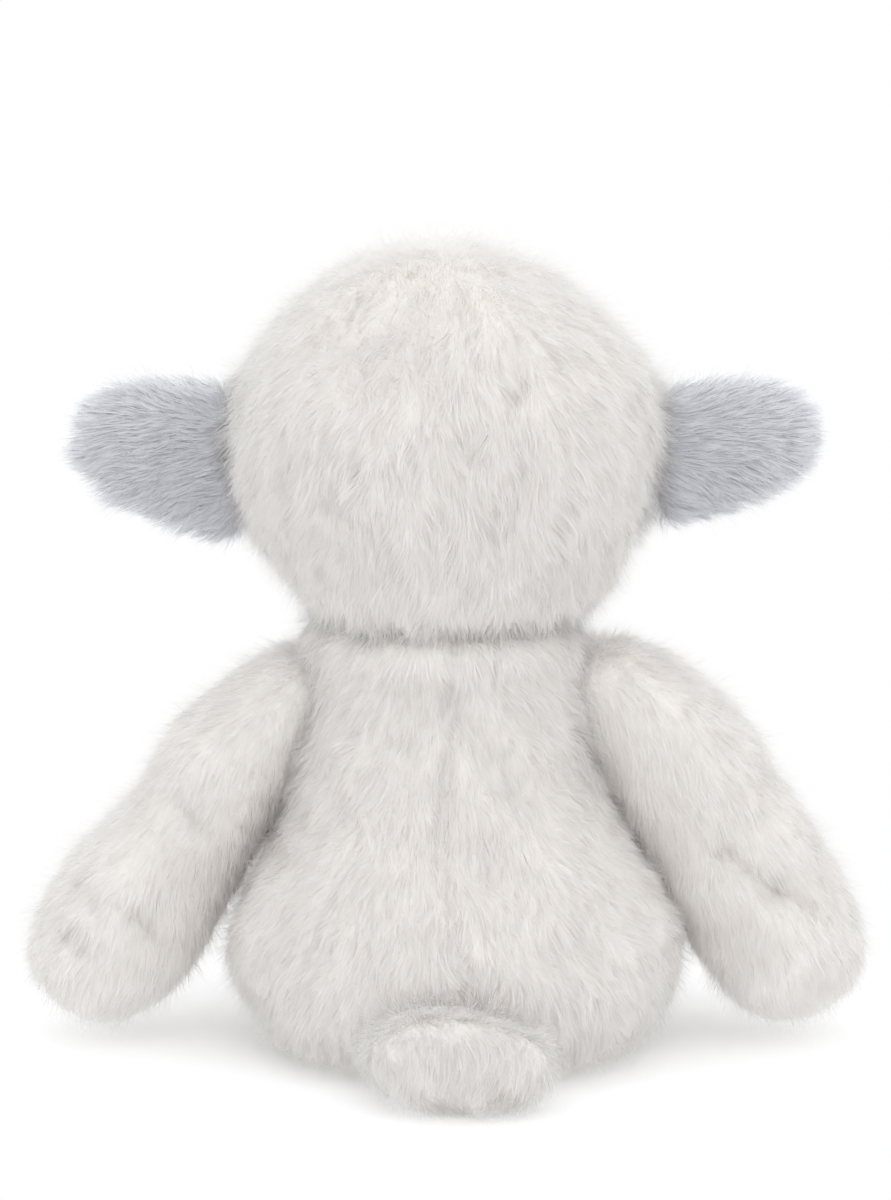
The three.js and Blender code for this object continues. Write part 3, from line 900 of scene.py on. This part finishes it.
# Which way the pile is combed, and where it is longer, stands up or faces out of a crease


def comb_head(points):
    """Down from the crown, and outward towards the sides."""
    offset = (points - HEAD_CENTRE) / HEAD_HALVES
    down = np.zeros_like(points)
    down[:, 2] = -1
    down[:, 0] = 0.9 * offset[:, 0] * np.abs(offset[:, 0])
    crown = smooth_step(0.55, 0.95, offset[:, 2])[:, None]
    from_crown = np.stack([offset[:, 0], offset[:, 1] + 0.5, 0 * offset[:, 0]], axis=1)
    return down + crown * from_crown * 1.2


def comb_face(points):
    """Away from the bridge of the nose."""
    away = points - np.array([0.0, MUZZLE_CENTRE[1] - 30, EYE_HEIGHT - 8])
    return unit(away) + np.array([0.0, 0.35, -0.15])


def comb_torso(points):
    """Down and outward from the neck, and outward under the seat."""
    down = np.zeros_like(points)
    down[:, 2] = -1
    high = smooth_step(95, 150, points[:, 2])
    down[:, 0] = (0.5 + 1.1 * high) * points[:, 0] / SEAT_HALF_WIDTH
    under = smooth_step(14, 3, points[:, 2])[:, None]
    outward = unit(points - np.array([SEAT_SHIFT, NECK[1], 0])) * np.array([1.0, 1.0, 0.0])
    return down * (1 - under) + outward * under


def comb_along(along, drop):
    """Along a limb, with some fall."""
    return lambda points: along - Z_AXIS * drop


def comb_ear(side):
    """Outward, and away from the middle of the ear."""
    root, out, up = ear_axes(side)

    def comb(points):
        height = (points - root) @ up / EAR_HALF_HEIGHT
        return 1.6 * out + up * (0.6 * height)[:, None] + np.array([0.0, 0.0, -0.3])

    return comb


def ear_painted_shade(side):
    """Painted shade in the ears' pile tone: darker by the head and below, with the right ear's painted
    light added.
    """
    root, out, up = ear_axes(side)

    def tint(points):
        offset = points - root
        outer = 0.4 * smooth_step(0, 36, offset @ out)
        return EAR_PAINTED_LIGHT[side] + outer + 0.2 * (offset @ up) / EAR_HALF_HEIGHT

    return tint


def on_face(points):
    """Whether points of the head lie on the grey face."""
    offset = np.hypot(points[:, 0] / FACE_HALF_WIDTH, (points[:, 2] - FACE_HEIGHT) / FACE_HALF_HEIGHT)
    return (offset < 1) & (points[:, 1] < NECK[1])


def from_bowl(points):
    """How far points lie from the bowl under the head."""
    return np.linalg.norm(points - NECK, axis=1) - BOWL_RADIUS


def out_from_neck(points):
    return unit((points - NECK) * np.array([1, 1, 0]))


def by_ear(points):
    """1 where the head's pile meets an ear, falling to 0 away from it."""
    share = np.zeros(len(points))
    for side in (1, -1):
        root, out, up = ear_axes(side)
        offset = points - root
        height = np.maximum(np.abs(offset @ up) - EAR_HALF_HEIGHT + EAR_HALF_THICKNESS, 0)
        aside = np.maximum(np.hypot(height, offset[:, 1]) - EAR_HALF_THICKNESS, 0)
        share += np.exp(-((aside / 5.0) ** 2)) * (side * offset[:, 0] > -25)
    return share


def head_length(points):
    """Longer at the rim of the bowl, where the pile hangs over the neck seam, and round the ears."""
    return 11.0 + 4.0 * smooth_step(10, 1, from_bowl(points)) + 2.0 * by_ear(points)


def head_stand(points):
    """The pile stands up beside the ears, and a little at the crown and at the rim of the bowl."""
    from_crown = np.linalg.norm((points - HEAD_CENTRE)[:, :2] - np.array([0.0, -36.5]), axis=1)
    crown = np.exp(-((from_crown / 10) ** 2)) * (points[:, 2] > HEAD_CENTRE[2])
    return 42 * by_ear(points) + 8 * smooth_step(20, 6, from_bowl(points)) + 14 * crown


def head_facing(points):
    """At the rim of the bowl the strands face outward, not down."""
    rim = smooth_step(22, 4, from_bowl(points))
    return (1.2 * out_from_neck(points) + 0.6 * Z_AXIS) * rim[:, None]


def nose_share(x, z):
    """Below 1 inside the stitched nose: a wide oval top that narrows to the mouth."""
    height = (z - NOSE_HEIGHT) / NOSE_HALF_HEIGHT
    narrowing = np.sqrt(np.clip((1 + height) / 1.35, 0, 1))
    rounding = np.sqrt(np.clip(1.06 - height, 0, 1) / 1.06 + 0.02)
    half = NOSE_HALF_WIDTH * narrowing * rounding
    return np.where(np.abs(height) < 1.02, np.abs(x) / np.maximum(half, 0.3), 9)


def eye_seats():
    """For each eye, where it sits on the CAD face and the way that it looks."""
    seats = {}
    for side in (1, -1):
        offset = np.array([side * EYE_HALF_SPREAD, 0.0, EYE_HEIGHT - HEAD_CENTRE[2]])
        left = 1 - (offset / HEAD_HALVES) @ (offset / HEAD_HALVES)
        offset[1] = -HEAD_HALVES[1] * math.sqrt(left)
        seats[side] = (HEAD_CENTRE + offset, unit(offset / HEAD_HALVES**2))
    return seats


def clear_of_fittings(points):
    """Whether points of the face lie beside the eyes, the nose and the mouth."""
    clear = nose_share(points[:, 0], points[:, 2]) > 0.92
    for at, out in eye_seats().values():
        offset = points - at
        along = offset @ out
        clear &= np.linalg.norm(offset - along[:, None] * out, axis=1) > EYE_RADIUS - 0.3
    mouth = (np.abs(points[:, 0]) < 1.0) & (points[:, 2] < NOSE_HEIGHT - NOSE_HALF_HEIGHT + 1)
    mouth &= points[:, 2] > NOSE_HEIGHT - NOSE_HALF_HEIGHT - MOUTH_DROP
    return clear & ~mouth


def beside_arm(points):
    return smooth_step(34, 48, np.abs(points[:, 0])) * smooth_step(80, 120, points[:, 2])


def torso_length(points):
    """Short under the seat, and longer beside the arms."""
    return 10.5 - 8.0 * smooth_step(10, 1.0, points[:, 2]) + 5.0 * beside_arm(points)


def in_hollow(points, hollows, reach):
    """Whether points lie in one of the torso's hollows."""
    inside = np.zeros(len(points), bool)
    for centre, radii, _ in hollows:
        inside |= np.linalg.norm((points - centre) / radii, axis=1) <= reach
    return inside


def torso_keep(points):
    """The pile stops under the head and in the hollows."""
    return (points[:, 2] < OPEN_PILE_TOP) & ~in_hollow(points, TORSO_HOLLOWS, 1.0)


def torso_facing(points):
    """Under the head and by the arms the strands face out of the crease, and low down a little down."""
    crease = smooth_step(138, 156, points[:, 2]) + 0.5 * beside_arm(points)
    backward = np.sign(points[:, 1:2] - NECK[1]) * Y_AXIS
    low = smooth_step(60, 20, points[:, 2])[:, None] * np.array([0, 0, -0.3])
    return (0.7 * out_from_neck(points) + 0.3 * backward) * crease[:, None] + low


def on_dome(points):
    return (points[:, 2] > COVERED_PILE_LOW) & (points[:, 2] < COVERED_PILE_TOP)


def covered_keep(points):
    """The dome under the head, and the hollows behind the arms: seen only when these move."""
    return on_dome(points) | in_hollow(points, TORSO_HOLLOWS[:2], 1.01)


def covered_length(points):
    return 5.0 + 3.0 * (points[:, 2] > COVERED_PILE_LOW)


def arm_facing(side):
    """Beside the torso the strands face out of the crease, to the back or to the front."""
    origin, along, _ = arm_axes(side)
    inward = np.array([-side, 0, -0.5])

    def facing(points):
        offset = points - origin - ((points - origin) @ along)[:, None] * along
        inner = smooth_step(-5, 20, offset @ inward)
        return 1.2 * Y_AXIS * (np.clip(offset[:, 1] / 15, -1, 1) * inner)[:, None]

    return facing


# The stuffed pieces


def plush(name, body, form, grid, nodes, filling_node):
    """Makes a stuffed piece's cloth and filling, and gives back the cloth's form; form(inset) makes it."""
    surface = form(SKIN_DEPTH)
    cloth = skin(name + "_cloth", surface, *grid, body, cream_backing, "cream_plush")
    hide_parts(*nodes)
    inner = skin(name + "_filling", form(FILLING_DEPTH), 48, 32, body, fibre, "stuffing")
    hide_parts(filling_node)
    return surface


def filling_ball(name, centre, radius, grid, body, node):
    """The filling where one stuffed piece turns on another."""
    ball = skin(name + "_filling", oval_place(centre, np.full(3, radius)), *grid, body, fibre, "stuffing")
    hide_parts(node)


torso_nodes = ["torso_back_left", "torso_back_right", "belly_panel", "seat_panel"]
torso_surface = plush("torso", "torso", torso_place, (150, 120), torso_nodes, "torso_stuffing")
torso_pile = Pile(torso_surface, 101, comb_torso, torso_length, keep=torso_keep, facing=torso_facing)
back = torso_pile.root[:, 1] > NECK[1] - 12
left = torso_pile.root[:, 0] > SEAT_SHIFT / 2
for name, chosen in (
    ("torso_back_pile_left", back & left),
    ("torso_back_pile_right", back & ~left),
    ("belly_pile_left", ~back & left),
    ("belly_pile_right", ~back & ~left),
):
    torso_pile.mesh(name, "torso", cream_pile, "cream_plush", chosen)
covered_pile = Pile(
    torso_surface, 106, comb_torso, covered_length, density=0.7, lift=(14, 6), width=0.22,
    keep=covered_keep, facing=torso_facing,
)
covered_pile.mesh("covered_pile", "torso", cream_pile, "cream_plush")

head_nodes = ["head_cover_left", "head_cover_right", "face_panel"]
head_surface = plush("head", "head", head_place, (168, 120), head_nodes, "head_stuffing")
head_pile = Pile(
    head_surface, 111, comb_head, head_length, stand=head_stand, facing=head_facing,
    keep=lambda points: (from_bowl(points) > 0.4) & ~on_face(points),
)
left, back = head_pile.root[:, 0] > 0, head_pile.root[:, 1] > NECK[1] - 5
for name, chosen in (
    ("left_back", left & back),
    ("right_back", ~left & back),
    ("left_front", left & ~back),
    ("right_front", ~left & ~back),
):
    head_pile.mesh("head_pile_" + name, "head", cream_pile, "cream_plush", chosen)
face_pile = Pile(
    head_surface, 121, comb_face, 4.6, density=1.3, lift=(34, 14), width=0.2, clump=2.2, gather=0.35,
    tint=lambda points: -0.3,
    keep=lambda points: on_face(points) & clear_of_fittings(points),
)
face_pile.mesh("face_pile", "head", grey_pile, "grey_plush")

for side, hand in ((1, "left"), (-1, "right")):
    seed = 131 if side > 0 else 136
    ear = "ear_" + hand
    ear_surface = ear_place(side, EAR_INSET)
    cloth = skin(ear + "_cloth", ear_surface, 72, 60, ear, grey_backing, "grey_plush")
    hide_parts(ear + "_back", ear + "_lining")
    # The ears' pile tone carries painted shade by the head and below, and painted light on the right ear.
    ear_pile = Pile(
        ear_surface, seed, comb_ear(side), 9.5, density=1.15, lift=(40, 20), width=0.2, clump=2.6,
        gather=0.4, tint=ear_painted_shade(side),
    )
    ear_pile.mesh(ear + "_pile", ear, grey_pile, "grey_plush")

    arm = "arm_" + hand
    arm_form = functools.partial(arm_place, side)
    arm_surface = plush(arm, arm, arm_form, (84, 100), [arm + "_cover"], arm + "_stuffing")
    combed = comb_along(arm_axes(side)[1], 0.8)
    arm_pile = Pile(arm_surface, seed + 20, combed, 10.5, density=0.88, facing=arm_facing(side))
    arm_pile.mesh(arm + "_pile", arm, cream_pile, "cream_plush")
    joint = "shoulder_" + hand
    filling_ball(joint, shoulder(side), SHOULDER_FILLING_RADIUS, (32, 20), joint, joint + "_stuffing")

    leg = "leg_" + hand
    leg_form = functools.partial(leg_place, side)
    leg_surface = plush(leg, leg, leg_form, (84, 72), [leg + "_cover"], leg + "_stuffing")
    combed = comb_along(leg_axes(side)[1], 0.9)
    leg_pile = Pile(
        leg_surface, seed + 40, combed, 10.0, density=0.8,
        keep=lambda points, origin=hip(side): points[:, 1] < origin[1] + 8,
    )
    leg_pile.mesh(leg + "_pile", leg, cream_pile, "cream_plush")

tail_surface = plush("tail", "tail", tail_place, (84, 60), ["tail_cover"], "tail_stuffing")
tail_pile = Pile(
    tail_surface, 181, comb_along(TAIL_ALONG, 0.5), 11.5, lift=(26, 14),
    facing=lambda points: np.array([0, 0.5, -0.45]),
    keep=lambda points: points[:, 1] > pivots["tail_lift"][1] - 3,
)
tail_pile.mesh("tail_pile", "tail", cream_pile, "cream_plush")
filling_ball("neck", NECK, NECK_FILLING_RADIUS, (48, 32), "neck", "neck_stuffing")
bag_low, bag_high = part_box("seat_bean_bag")
bag_centre = np.array(bag_low + bag_high) / 2 / MM
bag = skin("bean_bag", oval_place(bag_centre, BEAN_BAG_HALVES), 64, 40, "torso", cotton, "bag_cotton")
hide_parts("seat_bean_bag")


# The face


def make_eye(hand, at, out):
    """A domed safety eye that looks along out, with its rim sunk into the pile."""
    rim = [(0, -4.2), (3.0, -4.2), (5.2, -3.9), (5.9, -2.8), (6.0, -1.4), (5.9, -0.2)]
    dome_radius, dome_base = rim[-1]
    for angle in np.linspace(0.2, math.pi / 2, 9):
        rim.append((dome_radius * math.cos(angle), dome_base + EYE_RISE * math.sin(angle)))
    across = unit(np.cross(out, Z_AXIS))
    eye = skin("eye_dome_" + hand, turned(rim, at, out, across), 48, 40, "head", eye_black, "eye_black")
    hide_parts("eye_" + hand)


def muzzle_point(x, z, proud):
    """Points on the muzzle seen from the front, standing proud of it."""
    half_width, half_depth, half_height = (half + proud for half in MUZZLE_HALVES)
    left = 1 - (x / half_width) ** 2 - ((z - MUZZLE_CENTRE[2]) / half_height) ** 2
    return np.stack([x, MUZZLE_CENTRE[1] - half_depth * np.sqrt(np.maximum(left, 0)), z], axis=-1)


def make_nose():
    """Satin stitches laid side by side, from the top of the nose to its point."""
    threads, across, down = 22, 7, 22
    reach = 0.985  # the outermost stitches stay this share of the half width from the middle
    columns = np.linspace(-reach, reach, threads * across + 1)
    rows = np.linspace(0, 1, down)
    levels = np.linspace(NOSE_HEIGHT - NOSE_HALF_HEIGHT, NOSE_HEIGHT + NOSE_HALF_HEIGHT, 200)
    points = []
    for column in columns:
        ridge = abs(math.sin(math.pi * threads * (column + reach) / (2 * reach)))
        x = column * NOSE_HALF_WIDTH
        inside = levels[nose_share(np.full(200, x), levels) <= 1]
        low, high = (inside[0], inside[-1]) if len(inside) else (NOSE_HEIGHT + 1.9, NOSE_HEIGHT + 2.1)
        edge = np.sqrt(np.clip(1 - np.abs(column) ** 4, 0, 1))
        dome = np.sin(math.pi * rows) ** 0.45 * edge
        proud = -3.4 + dome * (4.3 + 0.38 * ridge)
        points.append(muzzle_point(np.full(down, x), low + (high - low) * rows, proud))
    wide = len(columns)
    front = np.array(points).reshape(-1, 3)
    behind = front + 1.5 * Y_AXIS
    index = np.arange(wide * down).reshape(wide, down)
    faces = []
    for i in range(wide - 1):
        for k in range(down - 1):
            faces.append((index[i, k], index[i + 1, k], index[i + 1, k + 1], index[i, k + 1]))
    total = wide * down
    faces += [tuple(total + v for v in face[::-1]) for face in faces]
    rim = list(index[:, 0]) + list(index[-1, 1:]) + list(index[-2::-1, -1]) + list(index[0, -2:0:-1])
    for a, b in zip(rim, rim[1:] + rim[:1]):
        faces.append((b, a, total + a, total + b))
    points = np.concatenate([front, behind])
    piece = make_mesh("nose_satin", points, *face_loops(faces), "head", dark_thread, "dark_thread")
    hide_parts("nose_stitching")


def thread_tube(path, radius, turns, sides=10, plies=2):
    """Points and faces of a twisted thread along a path."""
    path = np.asarray(path)
    way = unit(np.gradient(path, axis=0))
    side = unit(np.cross(way, Y_AXIS))
    up = np.cross(side, way)
    points, faces = [], []
    for i, centre in enumerate(path):
        taper = min(1, 3.0 * min(i, len(path) - 1 - i) / len(path) + 0.35)
        for k in range(sides):
            angle = 2 * math.pi * k / sides
            twist = 1 + 0.16 * math.cos(plies * (angle + 2 * math.pi * turns * i / len(path)))
            heading = side[i] * math.cos(angle) + up[i] * math.sin(angle)
            points.append(centre + heading * radius * twist * taper)
    for i in range(len(path) - 1):
        for k in range(sides):
            after = (k + 1) % sides
            faces.append((i * sides + k, i * sides + after, (i + 1) * sides + after, (i + 1) * sides + k))
    faces.append(tuple(range(sides))[::-1])
    faces.append(tuple((len(path) - 1) * sides + k for k in range(sides)))
    return points, faces


def make_mouth():
    """A thread down from the nose, and one across in a low curve."""
    top = NOSE_HEIGHT - NOSE_HALF_HEIGHT
    down = np.linspace(top + 0.6, top - MOUTH_DROP, 40)
    line = muzzle_point(np.zeros(40), down, 0.1)
    angles = np.radians(np.linspace(212, 328, 60))
    middle = top - MOUTH_DROP + MOUTH_RADIUS
    smile = muzzle_point(MOUTH_RADIUS * np.cos(angles), middle + MOUTH_RADIUS * np.sin(angles), 0.1)
    points, faces = [], []
    for path, turns in ((line, 7), (smile, 16)):
        more, sides = thread_tube(path, 0.85, turns)
        faces += [tuple(len(points) + vertex for vertex in face) for face in sides]
        points += more
    points = np.array(points)
    piece = make_mesh("mouth_thread", points, *face_loops(faces), "head", dark_thread, "dark_thread")
    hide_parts("mouth_stitching")


for side, (at, out) in eye_seats().items():
    make_eye("left" if side > 0 else "right", at, out)
make_nose()
make_mouth()
for node, material in (
    ("eye_washer_left", washer_plastic),
    ("eye_washer_right", washer_plastic),
    ("neck_seam_thread", pale_thread),
):
    cad = frame["nodes"][node]
    cad.data.materials.clear()
    cad.data.materials.append(material)

# Studio, in metres

AIM = Vector((0, NECK[1] * MM, 0.15))
SOFTBOX_SIZE = 1.8


def make_floor():
    """A pale floor that fades into the backdrop."""
    graph = material_graph("studio_floor")
    distance = graph.node("ShaderNodeVectorMath", {"operation": "LENGTH"}, {0: graph.place()}, "Value")
    fading = {"Value": distance, "From Min": 0.05, "From Max": 0.21, "To Min": 1.0, "To Max": 0.0}
    grain = graph.noise(30.0)
    material = graph.finish(
        Base_Color=graph.mix(grain, colour(250, 250, 250), colour(253, 253, 253)),
        Roughness=0.9,
        Specular_IOR_Level=0.0,
        Alpha=graph.node("ShaderNodeMapRange", {}, fading),
    )
    bpy.ops.mesh.primitive_circle_add(vertices=96, radius=1.0, fill_type="NGON", location=(0, 0, 0))
    floor = bpy.context.object
    floor.name = "studio_floor"
    floor.data.materials.append(material)


def make_world():
    """Soft light from all sides, and plain white where the world itself is seen."""
    world = bpy.data.worlds.new("studio")
    bpy.context.scene.world = world
    graph = Graph(world)
    light = graph.node("ShaderNodeBackground", {}, {"Color": (0.97, 0.985, 1.0, 1), "Strength": 1.1})
    white = graph.node("ShaderNodeBackground", {}, {"Color": (1, 1, 1, 1)})
    hidden = 1.0
    for ray in ("Is Camera Ray", "Is Glossy Ray", "Is Transmission Ray"):
        hidden = hidden * (1 - graph.node("ShaderNodeLightPath", {}, {}, ray))
    seen = graph.node("ShaderNodeMixShader", {}, {0: 1 - hidden, 1: light, 2: white})
    graph.output(seen, "ShaderNodeOutputWorld")


def softbox(name, at, power, tint=(1, 1, 1)):
    lamp = bpy.data.lights.new(name, "AREA")
    lamp.shape = "SQUARE"
    lamp.size = SOFTBOX_SIZE
    lamp.energy = power
    lamp.color = tint
    made = bpy.data.objects.new(name, lamp)
    made.location = at
    made.rotation_mode = "QUATERNION"
    made.rotation_quaternion = (AIM - Vector(at)).to_track_quat("-Z", "Y")
    bpy.context.scene.collection.objects.link(made)


make_floor()
make_world()
softbox("key_softbox", (-0.9, 1.3, 1.5), 7.0, (1.0, 0.985, 0.97))
softbox("fill_softbox", (1.3, 1.1, 0.9), 3.0)
softbox("top_softbox", (0.0, 0.3, 1.9), 7.5, (0.9, 0.95, 1.0))
softbox("front_softbox", (0.3, -1.8, 0.9), 3.5)

# Camera: behind the toy and a little above it, where the photograph was taken from
CAMERA_DISTANCE = 1.1
CAMERA_ELEVATION = math.radians(9.5)
CAMERA_RAISE = 0.0153
camera_data = bpy.data.cameras.new("camera")
camera_data.sensor_width = 36
camera_data.lens = 90.5
camera = bpy.data.objects.new("camera", camera_data)
way_back = Vector((0, math.cos(CAMERA_ELEVATION), math.sin(CAMERA_ELEVATION)))
camera.location = AIM + way_back * CAMERA_DISTANCE
aim = AIM + Vector((0, 0, CAMERA_RAISE))
camera.rotation_mode = "QUATERNION"
camera.rotation_quaternion = (aim - camera.location).to_track_quat("-Z", "Y")
bpy.context.scene.collection.objects.link(camera)
bpy.context.scene.camera = camera
bpy.context.scene.view_settings.view_transform = "Standard"
bpy.context.scene.cycles.diffuse_bounces = 12  # pale pile hands light on many times
bpy.context.scene.cycles.max_bounces = 24
